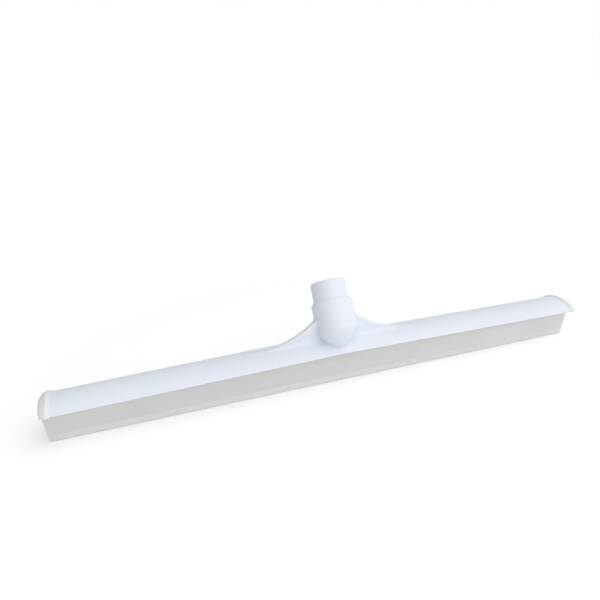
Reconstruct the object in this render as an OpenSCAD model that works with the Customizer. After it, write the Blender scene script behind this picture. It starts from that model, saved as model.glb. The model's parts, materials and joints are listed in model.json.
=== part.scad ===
// Floor squeegee head: an arched plastic hood with a leaning handle socket on two webs,
// a soft blade keyed to a rail under the hood, and a soft bumper on each end.
// X runs along the blade, -Y is the front, Z is up, and the wiping edge stands on z = 0.

/* [Head] */
// Length over the two bumpers
head_length = 500; // [420:10:700]
// How far the hood's ends hang below its middle
hood_droop = 4.1; // [1:0.1:6]

/* [Hood] */
// Depth of the hood from its front edge to its back edge
hood_depth = 42.8; // [39:0.2:48]
// Rise of the crest above the two edges
hood_rise = 7.4; // [6.4:0.1:9]
// Height of the edges above the floor at mid length
hood_edge_z = 35; // [34:0.2:40]
// How far the hood's centre line lies behind the blade
hood_setback = 3.2; // [1:0.1:4]
// Wall of the hood
hood_wall = 3; // [2.6:0.1:3.4]

/* [Bumpers] */
// Width of a bumper along the head
bumper_width = 7; // [6:0.2:9]
// Height of the ridge along the bumper's inner edge
bumper_ridge = 1.2; // [0.6:0.1:1.8]
// Length of the ramp on the hood that rises to the ridge
ridge_ramp = 2.4; // [1.4:0.1:4]
// How far the bumper's end bows out between its corners
bumper_bow = 2.5; // [1:0.1:3]
// Thickness of the wall that closes the end of the hood
bumper_wall = 2.6; // [2:0.1:3]

/* [Blade] */
// Height of the flexing lip, floor to hinge line
lip_height = 8.2; // [7:0.1:10]
// Thickness of the lip at the wiping edge
lip_edge = 2; // [1.6:0.1:2.4]
// Thickness of the lip at its hinge line
lip_neck = 2.6; // [2.4:0.1:3]
// Thickness of the blade under the hood
blade_thick = 10; // [9:0.2:12]
// How far the wiping edge's corners lie inside the head's ends
blade_inset = 2.2; // [1:0.1:6]

/* [Rail] */
// Thickness of the rail that carries the blade
rail_thick = 4; // [3.4:0.1:5]
// Depth of the rail below the hood
rail_depth = 16; // [14:0.2:17]
// Diameter of the keys through the rail
key_d = 6; // [4:0.2:7]
// Spacing of the keys
key_pitch = 30; // [24:1:40]

/* [Socket] */
// Lean of the socket back from upright
socket_lean = 29.5; // [20:0.5:35]
// Place of the socket's axis at crest height, measured back from the blade
socket_foot_y = -6.2; // [-9:0.1:-4]
// Diameter of the boss
boss_d = 37.4; // [35:0.2:40]
// Distance along the axis from crest height to the start of the nose
boss_foot = 9.2; // [8:0.2:12]
// Length of the boss's straight part
boss_length = 25.2; // [22:0.1:28]
// Length of the cone from the boss to the collar
shoulder = 3.8; // [3:0.1:5]
// Length of the bullet-shaped nose
nose_length = 18.9; // [16:0.1:20]
// How much the nose's side leans in where it starts, as a share of its length
nose_lean = 0.1; // [0:0.02:0.4]
// Diameter of the collar
collar_d = 31.6; // [30:0.2:33]
// Length of the collar
collar_length = 15.8; // [13:0.1:18]
// Diameter of the smooth entry bore
bore_d = 24.6; // [22:0.2:25]
// Length of the smooth entry bore
bore_length = 12; // [10:0.2:13]
// Diameter of the thread between its grooves
thread_d = 20.6; // [18:0.2:21]
// Depth of the thread's groove
thread_depth = 1.2; // [0.8:0.1:1.4]
// Rise of the thread in one turn
thread_pitch = 6; // [5:0.1:7]

/* [Webs] */
// Thickness of a web
web_thick = 5; // [4:0.2:7]
// Height of a web at the boss
web_top = 62.5; // [56:0.5:64]
// Distance from the middle to where a web runs out on the crest
web_reach = 76; // [65:1:90]

/* [Hidden] */
$fn = 96;

// Gap left between moulded faces that meet on a curve
seat_gap = 0.05;
// Gap between the lip and the blade above it, and between the blade's ends and the bumpers
flex_gap = 0.3;
// Reach of the blocks that trim the shapes
big = 400;

end_x = head_length / 2;
arch_r = (pow(hood_depth / 2, 2) + pow(hood_rise, 2)) / (2 * hood_rise);
crest_z = hood_edge_z + hood_rise;
arch_z = crest_z - arch_r;
droop_angle = atan(hood_droop / end_x);
end_edge_z = hood_edge_z - hood_droop;

hood_end_x = end_x - bumper_width;
wall_x = end_x - bumper_bow - bumper_wall;
spigot_r = arch_r - hood_wall / 2;
bow_r = (pow(hood_depth / 2, 2) + pow(bumper_bow, 2)) / (2 * bumper_bow);
// Flat on top of the ridge, and the size of the bumper's rounded outer corner
ridge_flat = 1;
bumper_corner = 1.5;

// Step from the lip's neck out to the blade above it, on each side
neck_step = 0.4;
root_neck = lip_neck / 2 + neck_step;
root_bottom = lip_height + lip_neck / 2 + flex_gap;
wedge_top = end_edge_z - flex_gap;
root_end_x = wall_x - 2 * flex_gap;

rail_bottom = crest_z - hood_wall - rail_depth;
rail_end_x = root_end_x - rail_thick / 2;
key_z = crest_z - hood_wall - rail_depth / 2;
key_count = floor((rail_end_x - key_d) / key_pitch + 0.5);

shoulder_s = boss_foot + boss_length;
collar_s = shoulder_s + shoulder;
mouth_s = collar_s + collar_length;
nose_tip = 1;
nose_steps = 9;
nose_bulge = (boss_d / 2 - nose_tip - nose_lean * nose_length) / pow(nose_length, 2);
// Width of the seat under the collar, and the thickness of the sleeve's closed bottom
collar_seat = 1;
sleeve_floor = 3;
sleeve_r = collar_d / 2 - collar_seat;
thread_s = mouth_s - bore_length;
thread_end_s = boss_foot + sleeve_floor + thread_pitch / 2;
// Half widths of the thread's groove at its open side and at its bottom
groove_open = thread_pitch / 3;
groove_bottom = thread_pitch / 7;

web_arc_r = (pow(web_reach - boss_d / 2, 2) + pow(web_top - crest_z, 2)) / (2 * (web_top - crest_z));
web_end_z = crest_z - hood_droop * web_reach / end_x;

hood_white = [0.87, 0.89, 0.95];
socket_white = [0.84, 0.85, 0.90];
blade_grey = [0.80, 0.80, 0.80];
bumper_grey = [0.84, 0.85, 0.86];

// Radius of the nose at a distance below its start
function nose_r(t) = boss_d / 2 - nose_lean * t - nose_bulge * t * t;

// Half length of the blade's slanted ends at height z
function blade_end(z) = end_x - flex_gap - blade_inset * (1 - z / end_edge_z);

// A section drawn as (y, z), run along X
module along_x(from, to) {
    translate([from, 0, 0]) rotate([90, 0, 90]) linear_extrude(to - from) children();
}

// An outline drawn as (x, z), run through the whole depth
module through_y() {
    rotate([90, 0, 0]) linear_extrude(big, center = true) children();
}

// Hangs a right-hand shape down by the droop, about the middle of the crest
module drooped() {
    translate([0, 0, crest_z]) rotate([0, droop_angle, 0]) translate([0, 0, -crest_z]) children();
}

// A drooped right-hand shape, cut at mid length and joined to its mirror image
module both_halves() {
    for (side = [0, 1]) mirror([side, 0, 0]) intersection() {
        drooped() children();
        translate([0, -big / 2, -big / 2]) cube(big);
    }
}

// A round bar along X on the arch's centre line
module arch_bar(r, from, to) {
    along_x(from, to) translate([hood_setback, arch_z]) circle(r, $fn = 180);
}

// The arched band between two radii, cut level at the hood's edges
module arch_section(outer, inner) {
    intersection() {
        translate([hood_setback, arch_z]) difference() {
            circle(outer, $fn = 180);
            circle(inner, $fn = 180);
        }
        translate([-big / 2, hood_edge_z]) square(big);
    }
}

// A ring about the arch's centre line, from an outline drawn as (radius, x)
module arch_ring(outline) {
    translate([0, hood_setback, arch_z]) rotate([0, 90, 0]) rotate([0, 0, 90])
        rotate_extrude(angle = 180, $fn = 180) polygon(outline);
}

// The space above the hood's edges, as deep as the ridge
module above_edges() {
    band_depth = hood_depth + bumper_ridge;
    translate([-big / 2, hood_setback - band_depth / 2, hood_edge_z]) cube([2 * big, band_depth, big]);
}

module hood() {
    color(hood_white) both_halves() {
        along_x(-hood_rise, hood_end_x) arch_section(arch_r, arch_r - hood_wall);
        along_x(-hood_rise, wall_x - seat_gap) arch_section(spigot_r, arch_r - hood_wall);
        intersection() {
            arch_ring([[spigot_r, hood_end_x - ridge_ramp], [arch_r, hood_end_x - ridge_ramp],
                       [arch_r + bumper_ridge, hood_end_x], [spigot_r, hood_end_x]]);
            above_edges();
        }
    }
}

// The rail's plate with room added all round, without its holes
module rail_plate(room) {
    translate([-hood_rise, -rail_thick / 2 - room, rail_bottom - room])
        cube([hood_rise + rail_end_x + room, rail_thick + 2 * room, crest_z - rail_bottom + room]);
}

// One round bar across the rail at each key, on one half
module key_bars(d, width) {
    for (i = [0 : key_count - 1])
        translate([key_pitch * (i + 0.5), 0, key_z])
            rotate([90, 0, 0]) cylinder(d = d, h = width, center = true, $fn = 48);
}

module blade_rail() {
    color(hood_white) both_halves() difference() {
        intersection() {
            rail_plate(0);
            arch_bar(arch_r - hood_wall - seat_gap, -big, big);
        }
        key_bars(key_d, 2 * rail_thick);
    }
}

module blade_keys() {
    color(blade_grey) both_halves() key_bars(key_d - 2 * seat_gap, rail_thick);
}

// Places a shape built up the Z axis on the socket's leaning axis, with z as the distance up it
module on_socket_axis() {
    translate([0, socket_foot_y, crest_z]) rotate([-socket_lean, 0, 0]) children();
}

// Outside of the boss and its nose, grown by a gap
module boss_outside(gap) {
    on_socket_axis() rotate_extrude() polygon(concat(
        [[0, boss_foot - nose_length]],
        [for (i = [nose_steps : -1 : 0])
            [nose_r(nose_length * i / nose_steps) + gap, boss_foot - nose_length * i / nose_steps]],
        [[boss_d / 2 + gap, shoulder_s], [collar_d / 2 + gap, collar_s], [0, collar_s]]));
}

// Everything under the hood's outer face, grown by a gap
module under_hood(gap) {
    both_halves() arch_bar(arch_r + gap, -hood_rise, end_x);
}

module socket_boss() {
    color(socket_white) difference() {
        boss_outside(0);
        under_hood(seat_gap);
        on_socket_axis() translate([0, 0, boss_foot]) cylinder(r = sleeve_r + seat_gap, h = big);
    }
}

// One ring of the thread's groove, from inside the bore out to its bottom
function groove_ring(turn) = [
    for (corner = [[-thread_depth, -groove_open], [thread_depth, -groove_bottom],
                   [thread_depth, groove_bottom], [-thread_depth, groove_open]])
        let (r = thread_d / 2 + corner[0])
            [r * cos(360 * turn), r * sin(360 * turn), thread_pitch * turn + corner[1]]
];

// The thread's groove, swept up a helix
module thread_groove(turns) {
    steps = 24;
    last = floor(turns * steps);
    points = [for (i = [0 : last]) each groove_ring(i / steps)];
    sides = [for (i = [0 : last - 1], k = [0 : 3])
        let (a = 4 * i + k, b = 4 * i + (k + 1) % 4)
            each [[a, b, b + 4], [a, b + 4, a + 4]]];
    ends = [[3, 2, 1], [3, 1, 0], [4 * last, 4 * last + 1, 4 * last + 2],
            [4 * last, 4 * last + 2, 4 * last + 3]];
    polyhedron(points, concat(sides, ends));
}

module thread_sleeve() {
    color(socket_white) on_socket_axis() difference() {
        union() {
            translate([0, 0, boss_foot + seat_gap])
                cylinder(r = sleeve_r, h = mouth_s - boss_foot - seat_gap);
            translate([0, 0, collar_s]) cylinder(d = collar_d, h = collar_length);
        }
        translate([0, 0, thread_s]) cylinder(d = bore_d, h = big);
        translate([0, 0, boss_foot + sleeve_floor]) cylinder(d = thread_d, h = big);
        translate([0, 0, thread_end_s])
            thread_groove((thread_s + groove_open - thread_end_s) / thread_pitch);
    }
}

// A right-hand web: a plate under a hollow curve that runs out on the hood's crest
module web() {
    difference() {
        translate([0, hood_setback, 0]) rotate([90, 0, 0]) linear_extrude(web_thick, center = true)
            difference() {
                translate([0, crest_z - hood_rise]) square([web_reach, web_top - crest_z + hood_rise]);
                translate([web_reach, web_end_z + web_arc_r])
                    circle(web_arc_r, $fn = 180);
            }
        under_hood(seat_gap);
        boss_outside(seat_gap);
    }
}

module web_right() { color(hood_white) web(); }
module web_left() { color(hood_white) mirror([1, 0, 0]) web(); }

// Half the outline of the blade's body along X: its slanted end and its shoulder under the bumper
root_outline = [
    [blade_end(root_bottom), root_bottom], [blade_end(wedge_top), wedge_top],
    [root_end_x, wedge_top], [root_end_x, crest_z]];

module blade_root() {
    color(blade_grey) difference() {
        intersection() {
            along_x(-end_x, end_x) polygon([
                [-root_neck, root_bottom], [root_neck, root_bottom],
                [blade_thick / 2, wedge_top], [blade_thick / 2, crest_z],
                [-blade_thick / 2, crest_z], [-blade_thick / 2, wedge_top]]);
            through_y() polygon(concat(root_outline,
                [for (i = [3 : -1 : 0]) [-root_outline[i][0], root_outline[i][1]]]));
            both_halves() arch_bar(arch_r - hood_wall - seat_gap, -hood_rise, end_x);
        }
        both_halves() rail_plate(seat_gap);
    }
}

module blade_lip() {
    lip_top = lip_height + lip_neck / 2;
    color(blade_grey) intersection() {
        along_x(-end_x, end_x) union() {
            polygon([[-lip_edge / 2, 0], [lip_edge / 2, 0],
                     [lip_neck / 2, lip_height], [-lip_neck / 2, lip_height]]);
            translate([0, lip_height]) circle(d = lip_neck, $fn = 48);
        }
        through_y() polygon([[-blade_end(0), 0], [blade_end(0), 0],
                             [blade_end(lip_top), lip_top], [-blade_end(lip_top), lip_top]]);
    }
}

// The right-hand bumper before the droop: a ridged band over the hood's end, and the end wall
module bumper() {
    band_in = hood_end_x + seat_gap;
    seat_r = spigot_r + seat_gap;
    intersection() {
        union() {
            arch_ring([[seat_r, band_in], [arch_r + bumper_ridge, band_in],
                       [arch_r + bumper_ridge, band_in + ridge_flat], [arch_r, end_x - bumper_corner],
                       [arch_r - bumper_corner / 2, end_x], [seat_r, end_x]]);
            along_x(wall_x, end_x) intersection() {
                translate([hood_setback, arch_z]) circle(seat_r, $fn = 180);
                translate([-big / 2, hood_edge_z]) square(big);
            }
        }
        translate([end_x - bow_r, hood_setback, 0]) cylinder(r = bow_r, h = big, $fn = 180);
        above_edges();
    }
}

module bumper_right() { color(bumper_grey) drooped() bumper(); }
module bumper_left() { color(bumper_grey) mirror([1, 0, 0]) drooped() bumper(); }

hood();
blade_rail();
blade_keys();
socket_boss();
thread_sleeve();
web_left();
web_right();
blade_root();
blade_lip();
bumper_left();
bumper_right();
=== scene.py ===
import json
import math

import bpy
from mathutils import Matrix, Vector


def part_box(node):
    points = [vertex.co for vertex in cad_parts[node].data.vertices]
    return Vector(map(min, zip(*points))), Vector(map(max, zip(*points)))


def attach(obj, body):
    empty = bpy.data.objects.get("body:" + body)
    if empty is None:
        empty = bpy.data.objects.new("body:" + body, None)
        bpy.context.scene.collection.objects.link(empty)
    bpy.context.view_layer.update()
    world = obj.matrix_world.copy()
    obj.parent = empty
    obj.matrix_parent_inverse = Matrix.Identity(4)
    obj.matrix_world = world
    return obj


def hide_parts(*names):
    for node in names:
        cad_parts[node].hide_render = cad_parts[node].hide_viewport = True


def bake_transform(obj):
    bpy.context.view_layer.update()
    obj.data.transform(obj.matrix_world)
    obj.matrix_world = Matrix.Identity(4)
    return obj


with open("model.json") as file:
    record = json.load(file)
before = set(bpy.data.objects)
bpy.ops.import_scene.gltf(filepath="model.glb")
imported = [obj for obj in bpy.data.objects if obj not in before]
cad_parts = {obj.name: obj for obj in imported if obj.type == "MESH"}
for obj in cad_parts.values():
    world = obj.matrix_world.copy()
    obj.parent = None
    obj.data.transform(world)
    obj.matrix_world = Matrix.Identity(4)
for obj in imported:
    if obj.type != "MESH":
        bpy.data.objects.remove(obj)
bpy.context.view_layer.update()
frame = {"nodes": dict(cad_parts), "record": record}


# Hood: the long arched shell of the head, whose two halves hang a little towards the ends.
# White polypropylene, injection moulded in one shot with the socket and the webs,
# with a fine spark-eroded skin, broad faint sink marks and a softened lower edge.
hood_low, hood_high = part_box("hood")
bumper_low, bumper_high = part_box("bumper_right")
hood_wall = 0.003
hood_rise = 0.0074
hood_half = 0.0214
hood_crest = hood_high.z
hood_edge = hood_crest - hood_rise
hood_edge_round = 0.0009
hood_middle = (hood_low.y + hood_high.y) / 2
hood_fall = (hood_edge - hood_low.z) / hood_high.x
hood_tuck = 0.0001
hood_end = bumper_low.x + hood_tuck
arch_radius = (hood_half ** 2 + hood_rise ** 2) / (2 * hood_rise)
arch_centre = Vector((0, hood_middle, hood_crest - arch_radius))
arch_overrun = math.radians(9)
arch_angle = math.asin(hood_half / arch_radius) + arch_overrun
ramp_length = 0.0024
ramp_height = 0.0012
end_ridge_half = hood_half + ramp_height / 2
hood_cool_white = (0.735, 0.775, 0.86, 1)
hood_clear_white = (0.775, 0.805, 0.875, 1)
merge_reach = 0.000002
mirror_reach = 0.00002
near_enough = 0.00001


def hood_top(x, y):
    """Height in metres of the hood's outer face over a place on the floor."""
    return arch_centre.z + math.sqrt(arch_radius ** 2 - (y - hood_middle) ** 2) - hood_fall * abs(x)


def strand(name, points, closed):
    """A new mesh, left in edit mode with all selected: points in turn, joined by edges."""
    bpy.ops.object.select_all(action="DESELECT")
    bpy.ops.mesh.primitive_circle_add(vertices=len(points), fill_type="NOTHING")
    piece = bpy.context.object
    piece.name = piece.data.name = name
    for vertex, point in zip(piece.data.vertices, points):
        vertex.co = point
    if not closed:
        ends = {0, len(points) - 1}
        pick_edges(piece, lambda edge: set(edge.vertices) == ends)
        bpy.ops.mesh.delete(type="EDGE")
    bpy.ops.object.mode_set(mode="EDIT")
    bpy.ops.mesh.select_mode(type="VERT")
    bpy.ops.mesh.select_all(action="SELECT")
    return piece


def pick_edges(piece, wanted):
    """Selects the edges of a piece that pass a test, and stays in edit mode."""
    bpy.ops.object.mode_set(mode="EDIT")
    bpy.ops.mesh.select_mode(type="EDGE")
    bpy.ops.mesh.select_all(action="DESELECT")
    bpy.ops.object.mode_set(mode="OBJECT")
    for edge in piece.data.edges:
        edge.select = wanted(edge)
    bpy.ops.object.mode_set(mode="EDIT")


def pick_faces(piece, wanted):
    """Selects the faces of a piece that pass a test, and stays in edit mode."""
    bpy.ops.object.mode_set(mode="EDIT")
    bpy.ops.mesh.select_mode(type="FACE")
    bpy.ops.mesh.select_all(action="DESELECT")
    bpy.ops.object.mode_set(mode="OBJECT")
    for face in piece.data.polygons:
        face.select = wanted(face)
    bpy.ops.object.mode_set(mode="EDIT")


def corners(piece, edge):
    """The two end points of an edge."""
    return [piece.data.vertices[index].co for index in edge.vertices]


def close_up():
    """Merges doubled points, turns the faces outwards and goes back to object mode."""
    bpy.ops.object.mode_set(mode="EDIT")
    bpy.ops.mesh.select_all(action="SELECT")
    bpy.ops.mesh.remove_doubles(threshold=merge_reach)
    bpy.ops.mesh.normals_make_consistent(inside=False)
    bpy.ops.object.mode_set(mode="OBJECT")


def trim_below(piece, height):
    """Cuts away what hangs below a height, and closes the cut."""
    pick_faces(piece, lambda face: True)
    bpy.ops.mesh.bisect(plane_co=(0, 0, height), plane_no=(0, 0, 1), clear_inner=True, use_fill=True)
    close_up()


def along_rim(piece, edge):
    """Whether an edge lies at the level of the hood's lower edge and runs along the head."""
    first, second = corners(piece, edge)
    level = max(abs(first.z - hood_edge), abs(second.z - hood_edge)) < near_enough
    return level and abs(first.y - second.y) < 0.5 * abs(first.x - second.x)


def hold_depth(piece):
    """Flattens a piece's front and back where they would stand out beyond the end ridge."""
    for vertex in piece.data.vertices:
        vertex.co.y = min(max(vertex.co.y, hood_middle - end_ridge_half), hood_middle + end_ridge_half)


def hang(piece):
    """Lowers a right-hand piece towards its end, by as much as the hood's halves hang."""
    for vertex in piece.data.vertices:
        vertex.co.z -= hood_fall * vertex.co.x


def apply_modifier(piece, kind, settings):
    """Adds a modifier with these settings and applies it."""
    modifier = piece.modifiers.new(kind.lower(), kind)
    for setting, value in settings.items():
        setattr(modifier, setting, value)
    bpy.ops.object.modifier_apply(modifier=modifier.name)


def choose(piece):
    """Selects one piece alone and makes it the active one."""
    bpy.ops.object.select_all(action="DESELECT")
    piece.select_set(True)
    bpy.context.view_layer.objects.active = piece


def soften(piece, degrees):
    """Smooth shading, with a crease where faces meet at more than this angle."""
    bpy.ops.object.mode_set(mode="OBJECT")
    choose(piece)
    bpy.ops.object.shade_smooth_by_angle(angle=math.radians(degrees))


class Shade:
    """A value in a finish, which plain arithmetic turns into nodes."""

    def __init__(self, finish, socket):
        self.finish = finish
        self.socket = socket

    def maths(self, operation, first, second):
        return self.finish.node("Math", {"operation": operation}, {0: first, 1: second})

    def __add__(self, other):
        return self.maths("ADD", self, other)

    def __radd__(self, other):
        return self.maths("ADD", other, self)

    def __sub__(self, other):
        return self.maths("SUBTRACT", self, other)

    def __rsub__(self, other):
        return self.maths("SUBTRACT", other, self)

    def __mul__(self, other):
        return self.maths("MULTIPLY", self, other)

    def __rmul__(self, other):
        return self.maths("MULTIPLY", other, self)


class Finish:
    """A material, or the surround, and the nodes that it is made of."""

    def __init__(self, owner, shader="Principled BSDF"):
        owner.use_nodes = True
        self.material = owner
        self.tree = owner.node_tree
        self.shader = self.tree.nodes[shader]

    def place(self):
        """The place on the piece, in metres."""
        return self.node("TexCoord", {}, {}, "Object")

    def node(self, kind, settings, sockets, output=0):
        """A new node: its settings are made first, then its sockets, and one output comes back."""
        made = self.tree.nodes.new("ShaderNode" + kind)
        for setting, value in settings.items():
            setattr(made, setting, value)
        self.join(made, sockets)
        return Shade(self, made.outputs[output])

    def join(self, node, sockets):
        """Links or sets the sockets of a node."""
        for key, value in sockets.items():
            if isinstance(value, Shade):
                self.tree.links.new(value.socket, node.inputs[key])
            else:
                node.inputs[key].default_value = value

    def noise(self, scale, detail, stretch=(1, 1, 1)):
        """Cloudy noise from 0 to 1, as fine as the scale and stretched along the axes."""
        place = self.node("Mapping", {}, {"Vector": self.place(), "Scale": stretch})
        return self.node("TexNoise", {}, {"Vector": place, "Scale": scale, "Detail": detail})

    def tint(self, share, low, high):
        """A colour between two others, by the sockets that a mix has for colours."""
        low_socket, high_socket, colour_output = 6, 7, 2
        sockets = {0: share, low_socket: low, high_socket: high}
        return self.node("Mix", {"data_type": "RGBA"}, sockets, colour_output)

    def contrast(self, value, low, high):
        """A value spread so that low becomes 0 and high becomes 1."""
        return self.node("MapRange", {}, {"Value": value, "From Min": low, "From Max": high})

    def relief(self, height, depth, under=None):
        """A bumped normal, of this depth in metres, over another one."""
        sockets = {"Height": height, "Distance": depth, "Strength": 1.0}
        if under:
            sockets["Normal"] = under
        return self.node("Bump", {}, sockets)


def moulded_plastic(name, cool, clear):
    """White polypropylene with a fine moulded skin, sink marks, flow marks and a little handling haze."""
    finish = Finish(bpy.data.materials.new(name))
    skin = finish.noise(scale=2400, detail=2)
    sink = finish.noise(scale=38, detail=1)
    cloud = finish.noise(scale=14, detail=3)
    flow = finish.noise(scale=30, detail=3, stretch=(0.12, 1, 1))
    haze = finish.noise(scale=420, detail=4, stretch=(0.1, 1, 1))
    scuff = finish.contrast(haze, low=0.66, high=0.8)
    patches = finish.contrast(cloud * 0.6 + flow * 0.4, low=0.3, high=0.7)
    sunk_face = finish.relief(sink, depth=0.0006)
    finish.join(finish.shader, {
        "Base Color": finish.tint(patches, cool, clear),
        "Roughness": 0.34 + 0.1 * cloud + 0.08 * skin + 0.1 * scuff,
        "Normal": finish.relief(skin - 0.35 * scuff, depth=0.00004, under=sunk_face),
        "IOR": 1.49,
        "Specular IOR Level": 0.42})
    return finish.material


def dress(piece, material):
    """Gives a piece its finish."""
    piece.data.materials.clear()
    piece.data.materials.append(material)


hood_plastic = moulded_plastic("hood_polypropylene", hood_cool_white, hood_clear_white)

# With these rows round the arch, none falls within the round of the lower edge, which would fold there.
hood_rows = 44
hood_stations = 24
hood_foot = hood_end - ramp_length
hood_outline = [(hood_foot * station / hood_stations, arch_radius) for station in range(hood_stations + 1)]
hood_outline += [(hood_foot + ramp_length * share, arch_radius + ramp_height * share) for share in (0.5, 1)]
hood_outline += [(x, arch_radius - hood_wall) for x, radius in reversed(hood_outline)]
hood_front = Vector((0, -math.sin(arch_angle), math.cos(arch_angle)))
hood_points = [arch_centre + Vector((x, 0, 0)) + hood_front * radius for x, radius in hood_outline]
hood = strand("hood_shell", hood_points, closed=True)
bpy.ops.mesh.spin(steps=hood_rows, angle=2 * arch_angle, center=arch_centre, axis=(1, 0, 0))
close_up()
trim_below(hood, hood_edge)
hold_depth(hood)
pick_edges(hood, lambda edge: along_rim(hood, edge))
bpy.ops.mesh.bevel(offset=hood_edge_round, segments=6, affect="EDGES")
close_up()
hang(hood)
pick_faces(hood, lambda face: abs(face.center.x) < near_enough)
bpy.ops.mesh.delete(type="FACE")
bpy.ops.object.mode_set(mode="OBJECT")
apply_modifier(hood, "MIRROR", {"use_axis": (True, False, False), "merge_threshold": mirror_reach})
close_up()
soften(hood, degrees=20)
dress(hood, hood_plastic)
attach(hood, "frame")
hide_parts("hood")


# Rail: the rib under the hood that carries the blade, with a row of holes for the blade's keys.
# Polypropylene, moulded with the hood. The soft blade buries all but its upper part, which only
# a look from below finds, so its plain solid stays as it is.
rail = frame["nodes"]["blade_rail"]
dress(rail, hood_plastic)


# Socket boss: the bullet-shaped boss that leans back and sinks into the hood, wall to wall with it.
# White polypropylene, moulded smooth in one with the hood, with a fillet where it meets the hood.
handle_mount = next(mount for mount in frame["record"]["mounts"] if mount["name"] == "handle_socket")
socket_axis = Vector(handle_mount["axis"]).normalized()
entry_length = handle_mount["dims"]["length_mm"] / 1000
entry_radius = handle_mount["dims"]["r_mm"] / 1000
socket_mouth = Vector(handle_mount["pos_m"]) + socket_axis * entry_length / 2
socket_side = Vector((1, 0, 0))
socket_back = socket_side.cross(socket_axis) * -1
boss_radius = 0.0187
boss_length = 0.0252
boss_bore = 0.01482
boss_fillet = 0.0016
collar_radius = 0.0158
collar_length = 0.0158
collar_lap = 0.00002
seat_radius = 0.0153
seat_lift = 0.0003
shoulder_length = 0.0038
shoulder_round = 0.0002
shoulder_slope = (boss_radius - collar_radius) / shoulder_length
shoulder_end = collar_length + shoulder_length
nose_depth = shoulder_end + boss_length
bore_floor_lift = 0.0002
bore_floor = nose_depth - bore_floor_lift
crease_lift = 0.0008
nose_crease = nose_depth - crease_lift
nose_length = 0.0197
nose_tip = 0.001
nose_lean = 0.34
nose_bulge = (boss_radius - nose_tip - nose_lean * nose_length) / nose_length ** 2
sunk = 0.0005
probe = 0.0001


def around_socket(depth, radius, angle):
    """A point at a depth below the socket's mouth, at a radius and angle round its axis."""
    out = socket_side * math.cos(angle) + socket_back * math.sin(angle)
    return socket_mouth - socket_axis * depth + out * radius


def nose_radius(depth):
    """Radius of the boss below its shoulder: straight, then drawn in like a bullet."""
    past = max(depth - nose_crease, 0)
    return boss_radius - nose_lean * past - nose_bulge * past ** 2


def sweep(first, corner, last, share):
    """A point of the smooth curve from first to last that a corner pulls on."""
    return first * (1 - share) ** 2 + corner * 2 * share * (1 - share) + last * share ** 2


def rounded(first, corner, last, steps):
    """The points of an outline along a rounded corner."""
    ends = [Vector(point) for point in (first, corner, last)]
    return [tuple(sweep(*ends, step / steps)) for step in range(steps + 1)]


def hood_normal(x, y):
    """The way the hood's outer face looks over a place on the floor."""
    rise = hood_top(x, y)
    return Vector((rise - hood_top(x + probe, y), rise - hood_top(x, y + probe), probe)).normalized()


def boss_landing(angle):
    """How deep the boss is where it meets the hood, along one line down its side."""
    shallow, deep = shoulder_end, nose_crease + nose_length
    for halving in range(40):
        middle = (shallow + deep) / 2
        point = around_socket(middle, nose_radius(middle), angle)
        if point.z > hood_top(point.x, point.y):
            shallow = middle
        else:
            deep = middle
    return shallow


def turn_faces():
    """Turns every face of the active piece round, and goes back to object mode."""
    bpy.ops.object.mode_set(mode="EDIT")
    bpy.ops.mesh.select_all(action="SELECT")
    bpy.ops.mesh.flip_normals()
    bpy.ops.object.mode_set(mode="OBJECT")


def ringed(name, rings, columns, place):
    """A closed skin of rings: a ball whose every point is pushed to the place for its ring and column."""
    bpy.ops.object.select_all(action="DESELECT")
    bpy.ops.mesh.primitive_uv_sphere_add(segments=columns, ring_count=rings + 1, radius=1)
    piece = bpy.context.object
    piece.name = piece.data.name = name
    for vertex in piece.data.vertices:
        ring = round(math.acos(max(-1, min(1, vertex.co.z))) / math.pi * (rings + 1))
        column = round(math.atan2(vertex.co.y, vertex.co.x) / math.tau * columns) % columns
        vertex.co = place(ring, column)
    close_up()
    if sum(face.center.dot(face.normal) * face.area for face in piece.data.polygons) < 0:
        turn_faces()
    return piece


boss_columns = 128
straight_rows = 10
nose_rows = 24
fillet_rows = 8
shoulder_run = 0.0008
nose_start = shoulder_end + shoulder_run
least_straight = 0.003
crease_share = 0.55
boss_wall = [(bore_floor, boss_bore), (collar_length, boss_bore), (collar_length - seat_lift, seat_radius)]
boss_wall += rounded(
    (collar_length - shoulder_round, collar_radius - collar_lap),
    (collar_length, collar_radius + collar_lap),
    (collar_length + shoulder_round, collar_radius + shoulder_round * shoulder_slope), steps=4)
boss_wall += rounded(
    (shoulder_end - shoulder_round, boss_radius - shoulder_round * shoulder_slope),
    (shoulder_end, boss_radius),
    (shoulder_end + shoulder_round, boss_radius), steps=4)


def boss_foot(angle):
    """The fillet along one line down the boss: its starting depth, its three points and the hood's lie."""
    landing = boss_landing(angle)
    ground = around_socket(landing, nose_radius(landing), angle)
    normal = hood_normal(ground.x, ground.y)
    out = around_socket(landing, 1, angle) - around_socket(landing, 0, angle)
    out = (out - normal * out.dot(normal)).normalized()
    depth = landing - boss_fillet
    for settling in range(12):
        start = around_socket(depth, nose_radius(depth), angle)
        below = depth + probe
        down = (around_socket(below, nose_radius(below), angle) - start).normalized()
        corner = start + down * ((ground - start).dot(normal) / down.dot(normal))
        leg = (corner - start).length
        rounding = leg * math.tan(out.angle(-down) / 2)
        depth = max(landing - (landing - depth) * boss_fillet / rounding, nose_start + least_straight)
    foot = corner + out * leg
    foot.z = hood_top(foot.x, foot.y)
    return depth, start, corner, foot, out, normal


boss_feet = [boss_foot(math.tau * column / boss_columns) for column in range(boss_columns)]


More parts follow.
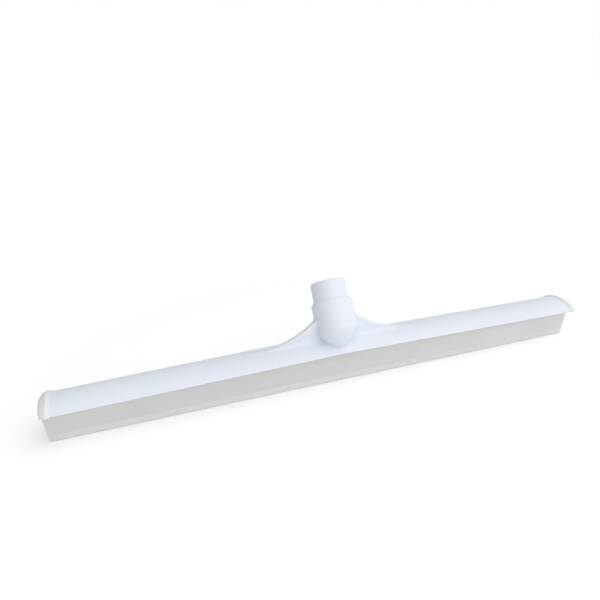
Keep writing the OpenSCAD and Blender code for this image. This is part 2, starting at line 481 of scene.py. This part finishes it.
def boss_place(ring, column):
    """Where a point of the boss goes, in order: bore floor, bore, shoulder, nose, fillet, buried foot."""
    angle = math.tau * column / boss_columns
    if ring == 0:
        return around_socket(bore_floor, 0, angle)
    ring -= 1
    if ring < len(boss_wall):
        return around_socket(*boss_wall[ring], angle)
    ring -= len(boss_wall)
    end, start, corner, foot, out, normal = boss_feet[column]
    if ring < nose_rows:
        crease = min(nose_crease, nose_start + (end - nose_start) * crease_share)
        depth = nose_start + (crease - nose_start) * ring / straight_rows
        if ring > straight_rows:
            depth = crease + (end - crease) * (ring - straight_rows) / (nose_rows - 1 - straight_rows)
        return around_socket(depth, nose_radius(depth), angle)
    ring -= nose_rows
    if ring < fillet_rows:
        return sweep(start, corner, foot, (ring + 1) / fillet_rows)
    if ring == fillet_rows:
        return foot + out * sunk - normal * sunk
    return Vector((0, 0, hood_top(0, 0) - hood_wall / 2))


boss = ringed("socket_boss_shell", len(boss_wall) + nose_rows + fillet_rows + 1, boss_columns, boss_place)
soften(boss, degrees=50)
dress(boss, hood_plastic)
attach(boss, "frame")
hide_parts("socket_boss")


# Webs: the two plates that brace the boss, each with a hollow top edge that runs out on the hood's crest.
# White polypropylene in one with the boss and the hood, so their feet and roots flare into both.
web_low, web_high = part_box("web_right")
web_half = (web_high.y - web_low.y) / 2
web_middle = (web_high.y + web_low.y) / 2
web_reach = 0.076
web_top = 0.0625
web_foot_fillet = 0.0048
web_root_fillet = 0.0035
web_top_round = 0.0011
web_buried = 0.0025
web_half_buried = 0.001
web_overrun = 0.0015
web_sinking = 0.1
web_skim = 0.00001
web_arc_limit = 0.95
web_foot_limit = 0.6
web_round_limit = 0.3
web_ridge_share = 0.25
least_reach = 0.0001


def boss_beside(y, z):
    """How far the boss reaches out along X at a height, in the plane of the webs."""
    from_mouth = Vector((0, y, z)) - socket_mouth
    depth = -from_mouth.dot(socket_axis)
    offset = from_mouth.dot(socket_back)
    return math.sqrt(max(nose_radius(depth) ** 2 - offset ** 2, least_reach ** 2))


web_run_out = hood_top(web_reach, web_middle)
web_rise = web_top - web_run_out
web_start = boss_beside(web_middle, web_top)
web_span = web_reach + web_overrun - web_start
web_arc = ((web_reach - web_start) ** 2 + web_rise ** 2) / (2 * web_rise)


def web_height(x):
    """Height of the web's hollow top edge, an arc that runs out on the crest and then sinks into it."""
    along = min(max(web_reach - x, 0), web_arc * web_arc_limit)
    sinking = web_sinking * max(x - web_reach, 0)
    return web_run_out + web_arc - math.sqrt(web_arc ** 2 - along ** 2) - sinking


def web_swell(gap):
    """How much thicker a web gets, on each face, this far from the boss."""
    if gap >= web_root_fillet:
        return 0
    near = web_root_fillet - max(gap, 0)
    return web_root_fillet - math.sqrt(max(web_root_fillet ** 2 - near ** 2, 0))


web_root_rows = 8
web_run_rows = 36
web_gaps = [-web_buried, -web_half_buried]
web_gaps += [web_root_fillet * row / web_root_rows for row in range(web_root_rows + 1)]
web_gaps += [web_root_fillet + (web_span - web_root_fillet) * row / web_run_rows
             for row in range(1, web_run_rows + 1)]
web_side = 16
web_columns = 2 * web_side
foot_column, flank_column, round_column, ridge_column = 2, 8, 11, 14


def web_place(ring, column):
    """Where a point of the right web goes: rings run out along X, columns run round the section."""
    gap = web_gaps[min(max(ring - 1, 0), len(web_gaps) - 1)]
    far = max(gap, 0) / web_span
    side = 1 if column < web_side else -1
    step = column if side > 0 else web_columns - 1 - column

    def along(y, z):
        return gap + boss_beside(y, z) * (1 - far) + web_start * far

    top = web_height(gap + web_start)
    for settling in range(6):
        top = web_height(along(web_middle, top))
    floor = hood_crest
    for settling in range(4):
        floor = hood_top(along(web_middle, floor), web_middle)
    rise = top - floor
    foot = max(min(web_foot_fillet, web_foot_limit * rise), 0)
    round_off = max(min(web_top_round, web_round_limit * rise), 0)
    sink = max(-rise, 0) + web_skim
    half = web_half + web_swell(gap)

    def grounded(across, lift):
        y = web_middle + side * across
        z = floor
        for settling in range(4):
            z = hood_top(along(y, z), y) + lift
        return Vector((along(y, z), y, z - sink))

    def standing(across, z):
        y = web_middle + side * across
        return Vector((along(y, z), y, z - sink))

    if ring in (0, len(web_gaps) + 1):
        return standing(0, floor + max(rise, 0) / 2 - 2 * sunk)
    if step == 0:
        return standing(0, floor - 2 * sunk)
    if step < foot_column:
        return grounded(half + foot + sunk, -sunk)
    corner = grounded(half, 0)
    low, high = corner.z + sink + foot, top - round_off
    if step <= flank_column:
        share = (step - foot_column) / (flank_column - foot_column)
        return sweep(grounded(half + foot, 0), corner, standing(half, low), share)
    if step < round_column:
        return standing(half, low + (high - low) * (step - flank_column) / (round_column - flank_column))
    if step <= ridge_column:
        share = (step - round_column) / (ridge_column - round_column)
        return standing(half - round_off * share ** 2, top - round_off * (1 - share) ** 2)
    return standing(half * web_ridge_share, top)


web_right = ringed("web_plate_right", len(web_gaps), web_columns, web_place)
soften(web_right, degrees=50)
dress(web_right, hood_plastic)


def mirror_copy(piece, name):
    """A copy of a right-hand piece, with a mesh of its own, turned into the left-hand one."""
    choose(piece)
    bpy.ops.object.duplicate(linked=False)
    copy = bpy.context.object
    copy.name = copy.data.name = name
    for vertex in copy.data.vertices:
        vertex.co.x = -vertex.co.x
    turn_faces()
    return copy


web_left = mirror_copy(web_right, "web_plate_left")
for side, web in (("right", web_right), ("left", web_left)):
    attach(web, "frame")
    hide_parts("web_" + side)


# Sleeve: the collar on the boss with the handle's bore, a plain entry above a coarse thread.
# White polypropylene, moulded on a threaded core that is wound out; its rim is rounded.
thread_radius = 0.0103
thread_depth = 0.0012
thread_root = thread_radius + thread_depth
thread_pitch = 0.006
thread_turns = 4
sleeve_columns = 128
sleeve_play = 0.0001
sleeve_radius = boss_bore - sleeve_play
sleeve_end_gap = 0.0006
sleeve_end = nose_depth - sleeve_end_gap
sleeve_floor = 0.0418
sleeve_floor_round = 0.0008
rim_out = 0.0016
rim_in = 0.0011
entry_turn = 0.0003
entry_draw = 0.0001
entry_ramp = 0.0007
sleeve_outline = [(0, sleeve_end), (sleeve_radius, sleeve_end)]
sleeve_outline += [(sleeve_radius, collar_length), (collar_radius, collar_length)]
sleeve_outline += rounded((collar_radius, rim_out), (collar_radius, 0), (collar_radius - rim_out, 0), steps=6)
sleeve_outline += rounded((entry_radius + rim_in, 0), (entry_radius, 0), (entry_radius, rim_in), steps=5)
sleeve_outline += [(entry_radius, entry_length - entry_turn), (entry_radius - entry_draw, entry_length)]
sleeve_outline += [(thread_root, entry_length + entry_ramp), (thread_root, sleeve_floor - sleeve_floor_round)]
sleeve_outline += [(thread_root - sleeve_floor_round, sleeve_floor), (0, sleeve_floor)]
sleeve_points = [around_socket(depth, radius, 0) for radius, depth in sleeve_outline]
sleeve = strand("thread_sleeve_shell", sleeve_points, closed=False)
bpy.ops.mesh.spin(steps=sleeve_columns, angle=math.tau, center=socket_mouth, axis=socket_axis)
close_up()
soften(sleeve, degrees=40)
dress(sleeve, hood_plastic)
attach(sleeve, "frame")
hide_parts("thread_sleeve")

ridge_steps = 96
ridge_lift = 0.0006
ridge_bedding = 0.0003
ridge_root = thread_root + ridge_bedding
ridge_round = 0.0002
ridge_turn_in = thread_radius + ridge_round
ridge_section = [(ridge_root, 0.0012), (ridge_turn_in, 0.0020), (thread_radius, 0.0022)]
ridge_section += [(thread_radius, 0.0038), (ridge_turn_in, 0.0040), (ridge_root, 0.0048)]
ridge_points = [Vector((radius, 0, height)) for radius, height in ridge_section]
ridge = strand("thread_ridge", ridge_points, closed=True)
bpy.ops.object.mode_set(mode="OBJECT")
apply_modifier(ridge, "SCREW", {
    "angle": math.tau, "screw_offset": thread_pitch, "iterations": thread_turns, "steps": ridge_steps,
    "render_steps": ridge_steps, "axis": "Z", "use_merge_vertices": False})
pick_edges(ridge, lambda edge: False)
bpy.ops.mesh.select_non_manifold(extend=False)
bpy.ops.mesh.edge_face_add()
bpy.ops.object.mode_set(mode="OBJECT")
ridge_turn = Matrix((socket_side, socket_back, socket_axis)).transposed().to_4x4()
ridge_foot = socket_mouth - socket_axis * (sleeve_floor - ridge_lift)
ridge.data.transform(Matrix.Translation(ridge_foot) @ ridge_turn)
close_up()
soften(ridge, degrees=40)
dress(ridge, hood_plastic)
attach(ridge, "frame")


# Blade: one soft strip from the hood down to the floor, a tapering body with a thin wiping lip below.
# Pale grey thermoplastic rubber moulded round the rail and through its holes; the lip bends on the floor.
lip_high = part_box("blade_lip")[1]
root_low, root_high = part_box("blade_root")
lip_line = 0.0059
lip_edge_half = 0.001
lip_neck_half = 0.0013
lip_blur = 0.0002
root_neck_half = 0.0017
blade_half = root_high.y
blade_blank = 0.01
blade_neck = 0.0075
blade_taper = 0.0208
blade_knee = root_low.z + blade_taper
blade_foot_end = lip_high.x
blade_inset = 0.0022
blade_end_slope = blade_inset / (hood_edge - hood_fall * hood_high.x)
blade_end_cover = 0.0012
blade_fall_share = 0.9
blade_corner = 0.0012
blade_corner_start = blade_foot_end * 0.97
blade_edge_round = 0.0002
blade_edge_angle = math.radians(60)
blade_shade_grey = (0.66, 0.65, 0.635, 1)
blade_light_grey = (0.75, 0.74, 0.725, 1)
# The lip's paler grey is painted light: the lip is drawn lighter than the body's slope, which sits in shade
# under the hood.
lip_painted_light_grey = (0.755, 0.745, 0.735, 1)


def blade_thickness(height):
    """Half the blade's thickness at a height: the lip, the step at its neck and the tapering body."""
    if height <= lip_line:
        return lip_edge_half + (lip_neck_half - lip_edge_half) * height / lip_line
    if height <= blade_neck:
        share = (height - lip_line) / (blade_neck - lip_line)
        return lip_neck_half + (root_neck_half - lip_neck_half) * share ** 2 * (3 - 2 * share)
    share = min((height - blade_neck) / (blade_knee - blade_neck), 1)
    return root_neck_half + (blade_half - root_neck_half) * share


blade_stations = 10
blade_rows = [0.0014, 0.003, 0.0045, 0.0053, lip_line, 0.0063, 0.0067, 0.0071, blade_neck]
blade_rows += [0.0082, 0.0088, 0.0094, 0.01, 0.0108, 0.012, 0.014, 0.018, 0.022, 0.026, blade_knee]
bpy.ops.object.select_all(action="DESELECT")
bpy.ops.mesh.primitive_cube_add(
    size=1, location=(0, 0, hood_edge / 2), scale=(2 * blade_foot_end, blade_blank, hood_edge))
blade = bpy.context.object
blade.name = blade.data.name = "blade_strip"
bpy.ops.object.transform_apply(location=True, rotation=True, scale=True)
bpy.ops.object.mode_set(mode="EDIT")
for row in blade_rows:
    bpy.ops.mesh.select_all(action="SELECT")
    bpy.ops.mesh.bisect(plane_co=(0, 0, row), plane_no=(0, 0, 1))
for station in range(1, 2 * blade_stations):
    bpy.ops.mesh.select_all(action="SELECT")
    bpy.ops.mesh.bisect(plane_co=(blade_foot_end * (station / blade_stations - 1), 0, 0), plane_no=(1, 0, 0))
close_up()
for vertex in blade.data.vertices:
    point = vertex.co
    side = 1 if point.y > 0 else -1
    reach = blade_foot_end + blade_end_slope * (min(point.z, blade_knee) - lip_high.z)
    if point.z > blade_knee + 10 * near_enough:
        point.z -= hood_fall * abs(point.x) * blade_fall_share
        reach = min(reach, bumper_high.x - blade_end_cover)
    point.x *= reach / blade_foot_end
    point.y = side * blade_thickness(point.z)


def blade_corner_edge(edge):
    """Whether an edge runs through the thickness at a lower corner of the lip."""
    first, second = corners(blade, edge)
    low = max(first.z, second.z) < near_enough
    return low and abs(first.y - second.y) > lip_edge_half and abs(first.x) > blade_corner_start


pick_edges(blade, blade_corner_edge)
bpy.ops.mesh.bevel(offset=blade_corner, segments=5, affect="EDGES")
close_up()

blade_normals = {}
for face in blade.data.polygons:
    for key in face.edge_keys:
        blade_normals.setdefault(tuple(sorted(key)), []).append(face.normal.copy())


def blade_rim_edge(edge):
    """Whether an edge lies on the outline of the blade's front or back face."""
    normals = blade_normals.get(tuple(sorted(edge.vertices)), [])
    return len(normals) == 2 and normals[0].angle(normals[1]) > blade_edge_angle


pick_edges(blade, blade_rim_edge)
bpy.ops.mesh.bevel(offset=blade_edge_round, segments=2, affect="EDGES")
close_up()
soften(blade, degrees=35)

blade_finish = Finish(bpy.data.materials.new("blade_rubber"))
blade_skin = blade_finish.noise(scale=1500, detail=3)
blade_cloud = blade_finish.noise(scale=9, detail=3, stretch=(1, 2.5, 2.5))
blade_drag = blade_finish.noise(scale=55, detail=3, stretch=(0.1, 1, 1))
blade_height = blade_finish.node("SeparateXYZ", {}, {0: blade_finish.place()}, "Z")
blade_patches = blade_finish.contrast(blade_cloud * 0.6 + blade_drag * 0.4, low=0.32, high=0.68)
blade_body = blade_finish.tint(blade_patches, blade_shade_grey, blade_light_grey)
# Painted light by height: below the lip line the blade is tinted lighter, and the body above stays darker as
# if in shade.
blade_lit_lip_share = blade_finish.contrast(blade_height, low=blade_neck + lip_blur, high=lip_line - lip_blur)
blade_streaks = blade_finish.relief(blade_drag, depth=0.0003)
blade_finish.join(blade_finish.shader, {
    "Base Color": blade_finish.tint(blade_lit_lip_share, blade_body, lip_painted_light_grey),
    "Roughness": 0.52 + 0.16 * blade_cloud + 0.08 * blade_skin,
    "Normal": blade_finish.relief(blade_skin, depth=0.00005, under=blade_streaks),
    "IOR": 1.47,
    "Specular IOR Level": 0.35})
dress(blade, blade_finish.material)
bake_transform(blade)
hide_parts("blade_root", "blade_lip", "blade_keys")


# Bumpers: the soft caps on the hood's two ends, each a raised band of even width with a domed end wall.
# Pale thermoplastic rubber, moulded over the hood's stepped ends in the same shot as the blade.
bumper_wall = 0.0026
bumper_end_wall = 0.005
bumper_band = 0.0044
bumper_dome = 0.0055
bumper_dome_turn = 0.0017
bumper_foot = 0.38
bumper_edge_round = 0.0003
bumper_edge_rise = 0.0001
bumper_lip_round = 0.0003
bumper_side = hood_half - 0.0024
end_ridge_radius = arch_radius + ramp_height
end_ridge_round = 0.0002
end_ridge_flat = 0.0006
end_ridge_turn = 0.001
end_ridge_fall = (0.0016, 0.00016)
bumper_shade = (0.72, 0.73, 0.745, 1)
bumper_light = (0.78, 0.79, 0.81, 1)

band_in = hood_end
band_edge = band_in + bumper_band
band_out = bumper_high.x
band_radius = arch_radius
band_inner = arch_radius - bumper_wall
wall_in = band_out - bumper_end_wall
wall_rows = 10
bumper_columns = 96
dome_rows = 10
dome_start = Vector((band_edge + 0.85 * bumper_edge_round, band_radius - 0.5 * bumper_edge_round))
dome_middle = Vector((band_out, dome_start.y - bumper_dome_turn))
dome_end = Vector((band_out, dome_start.y - bumper_dome))
bumper_outline = [(wall_in, 0), (wall_in, band_inner), (band_in, band_inner)]
bumper_outline += rounded(
    (band_in, end_ridge_radius - end_ridge_round),
    (band_in, end_ridge_radius),
    (band_in + end_ridge_round, end_ridge_radius), steps=3)
bumper_outline += rounded(
    (band_in + end_ridge_flat, end_ridge_radius),
    (band_in + end_ridge_turn, end_ridge_radius),
    (band_in + end_ridge_fall[0], end_ridge_radius - end_ridge_fall[1]), steps=3)
bumper_outline += rounded(
    (band_edge - bumper_edge_round, band_radius + bumper_edge_rise),
    (band_edge, band_radius),
    dome_start, steps=3)
bumper_outline += rounded(dome_start, dome_middle, dome_end, steps=dome_rows)[1:]
bumper_outline += [(band_out, band_radius * row / wall_rows) for row in range(8, -1, -1)]
bumper_points = [Vector((x, hood_middle - radius, arch_centre.z)) for x, radius in bumper_outline]

bumper_right = strand("bumper_cap_right", bumper_points, closed=False)
bpy.ops.mesh.spin(steps=bumper_columns, angle=math.pi, center=arch_centre, axis=(1, 0, 0))
close_up()
trim_below(bumper_right, hood_edge)
hold_depth(bumper_right)
for vertex in bumper_right.data.vertices:
    point = vertex.co
    if point.x > band_edge:
        swell = max(0, 1 - ((point.y - hood_middle) / hood_half) ** 2)
        point.x = band_edge + (point.x - band_edge) * (bumper_foot + (1 - bumper_foot) * swell)


def under_bumper(edge):
    """Whether an edge is part of the front or back lower corner of the bumper's band."""
    first, second = corners(bumper_right, edge)
    outside = min(abs(first.y - hood_middle), abs(second.y - hood_middle)) > bumper_side
    on_band = max(first.x, second.x) < band_edge + near_enough
    return outside and on_band and along_rim(bumper_right, edge)


pick_edges(bumper_right, under_bumper)
bpy.ops.mesh.bevel(offset=bumper_lip_round, segments=3, affect="EDGES")
close_up()
pick_faces(bumper_right, lambda face: True)
bpy.ops.mesh.bisect(plane_co=(wall_in, 0, 0), plane_no=(1, 0, 0))
close_up()
hang(bumper_right)
soften(bumper_right, degrees=40)

bumper_finish = Finish(bpy.data.materials.new("bumper_rubber"))
bumper_skin = bumper_finish.noise(scale=1700, detail=3)
bumper_cloud = bumper_finish.noise(scale=45, detail=3)
bumper_patches = bumper_finish.contrast(bumper_cloud, low=0.3, high=0.7)
bumper_finish.join(bumper_finish.shader, {
    "Base Color": bumper_finish.tint(bumper_patches, bumper_shade, bumper_light),
    "Roughness": 0.48 + 0.14 * bumper_cloud + 0.08 * bumper_skin,
    "Normal": bumper_finish.relief(bumper_skin, depth=0.00005),
    "IOR": 1.47,
    "Specular IOR Level": 0.35})
dress(bumper_right, bumper_finish.material)

bumper_left = mirror_copy(bumper_right, "bumper_cap_left")
for side, bumper in (("right", bumper_right), ("left", bumper_left)):
    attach(bumper, "frame")
    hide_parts("bumper_" + side)


# Floor and light: a pale studio floor, a broad near key lamp from the upper right, a low fill lamp
# and a bright surround. The floor is matt paper that keeps the shadow; both it and the surround look
# white to the camera, and from below the floor is clear.
floor_size = 30
floor_drop = 0.0002
floor_fade_start = 0.3
floor_fade_end = 0.9
floor_white = (0.93, 0.93, 0.93, 1)
floor_grain_white = (0.95, 0.95, 0.95, 1)
floor_near_glow = (0.18, 0.18, 0.18, 1)
floor_far_glow = (1, 1, 1, 1)
no_glow = (0, 0, 0, 1)
bpy.ops.object.select_all(action="DESELECT")
bpy.ops.mesh.primitive_plane_add(size=floor_size, location=(0, 0, -floor_drop))
floor = bpy.context.object
floor.name = floor.data.name = "studio_floor"
bpy.ops.object.transform_apply(location=True, rotation=True, scale=True)
floor_finish = Finish(bpy.data.materials.new("floor_paper"))
floor_grain = floor_finish.noise(scale=60, detail=2)
floor_reach = floor_finish.node("VectorMath", {"operation": "LENGTH"}, {0: floor_finish.place()}, "Value")
floor_far = floor_finish.contrast(floor_reach, low=floor_fade_start, high=floor_fade_end)
floor_glow = floor_finish.tint(floor_far, floor_near_glow, floor_far_glow)
seen = floor_finish.node("LightPath", {}, {}, "Is Camera Ray")
seen_in_gloss = floor_finish.node("LightPath", {}, {}, "Is Glossy Ray")
floor_finish.join(floor_finish.shader, {
    "Base Color": floor_finish.tint(floor_grain, floor_white, floor_grain_white),
    "Roughness": 0.9,
    "Specular IOR Level": 0.0,
    "Emission Color": floor_finish.tint(seen + seen_in_gloss, no_glow, floor_glow),
    "Emission Strength": 1.0})
floor_under = floor_finish.node("NewGeometry", {}, {}, "Backfacing")
floor_clear = floor_finish.node("BsdfTransparent", {}, {})
floor_paper = Shade(floor_finish, floor_finish.shader.outputs[0])
floor_finish.join(floor_finish.tree.nodes["Material Output"], {
    "Surface": floor_finish.node("MixShader", {}, {0: floor_under, 1: floor_paper, 2: floor_clear})})
floor.data.materials.append(floor_finish.material)


def studio_lamp(name, place, size, power):
    """A square soft lamp that shines at the head's foot and isn't seen itself."""
    bpy.ops.object.select_all(action="DESELECT")
    bpy.ops.object.light_add(type="AREA", location=place)
    lamp = bpy.context.object
    lamp.name = lamp.data.name = name
    lamp.data.size = size
    lamp.data.energy = power
    lamp.rotation_euler = Vector(place).to_track_quat("Z", "Y").to_euler()
    lamp.visible_camera = False


studio_lamp("key_light", place=(0.35, -0.68, 1.27), size=1.6, power=7.6)
studio_lamp("fill_light", place=(0.05, -1.0, 0.3), size=0.9, power=1.1)

surround_bright_way = (0.72, -0.5, 0.45)
surround_level = 0.585
surround_swing = 0.33
world = bpy.data.worlds.new("studio_surround")
bpy.context.scene.world = world
surround = Finish(world, "Background")
surround_seen = surround.node("LightPath", {}, {}, "Is Camera Ray")
surround_way = surround.node("TexCoord", {}, {}, "Generated")
surround_side = surround.node(
    "VectorMath", {"operation": "DOT_PRODUCT"}, {0: surround_way, 1: surround_bright_way}, "Value")
surround_light = surround_level + surround_swing * surround_side
surround.join(surround.shader, {
    "Color": (1, 1, 1, 1),
    "Strength": surround_light + surround_seen * (1 - surround_light)})
bpy.context.scene.view_settings.view_transform = "Standard"


# Camera: the photograph's view, from the front left and above, on a frame of 600 by 600 pixels.
# In the photograph the head leans back, so the camera carries that lean and the head stands upright.
photo_size = 600
photo_middle = photo_size / 2
photo_focus = 540
photo_foot = (338.79, 379.78)
sensor_width = 36
camera_distance = 0.498
camera_pitch = math.radians(30.90)
camera_yaw = math.radians(18.17)
head_lean = math.radians(10.52)
pixel = camera_distance / photo_focus
bpy.ops.object.camera_add()
camera = bpy.context.object
camera.name = "photo_camera"
camera.data.sensor_width = sensor_width
camera.data.lens = sensor_width * photo_focus / photo_size
camera.data.clip_start = 0.01
camera_turn = Matrix.Rotation(-camera_yaw, 4, "Z") @ Matrix.Rotation(math.pi / 2 - camera_pitch, 4, "X")
camera_offset = Matrix.Translation((
    (photo_middle - photo_foot[0]) * pixel,
    (photo_foot[1] - photo_middle) * pixel,
    camera_distance))
camera.matrix_world = Matrix.Rotation(head_lean, 4, "X") @ camera_turn @ camera_offset
bpy.context.scene.camera = camera

bpy.context.view_layer.update()
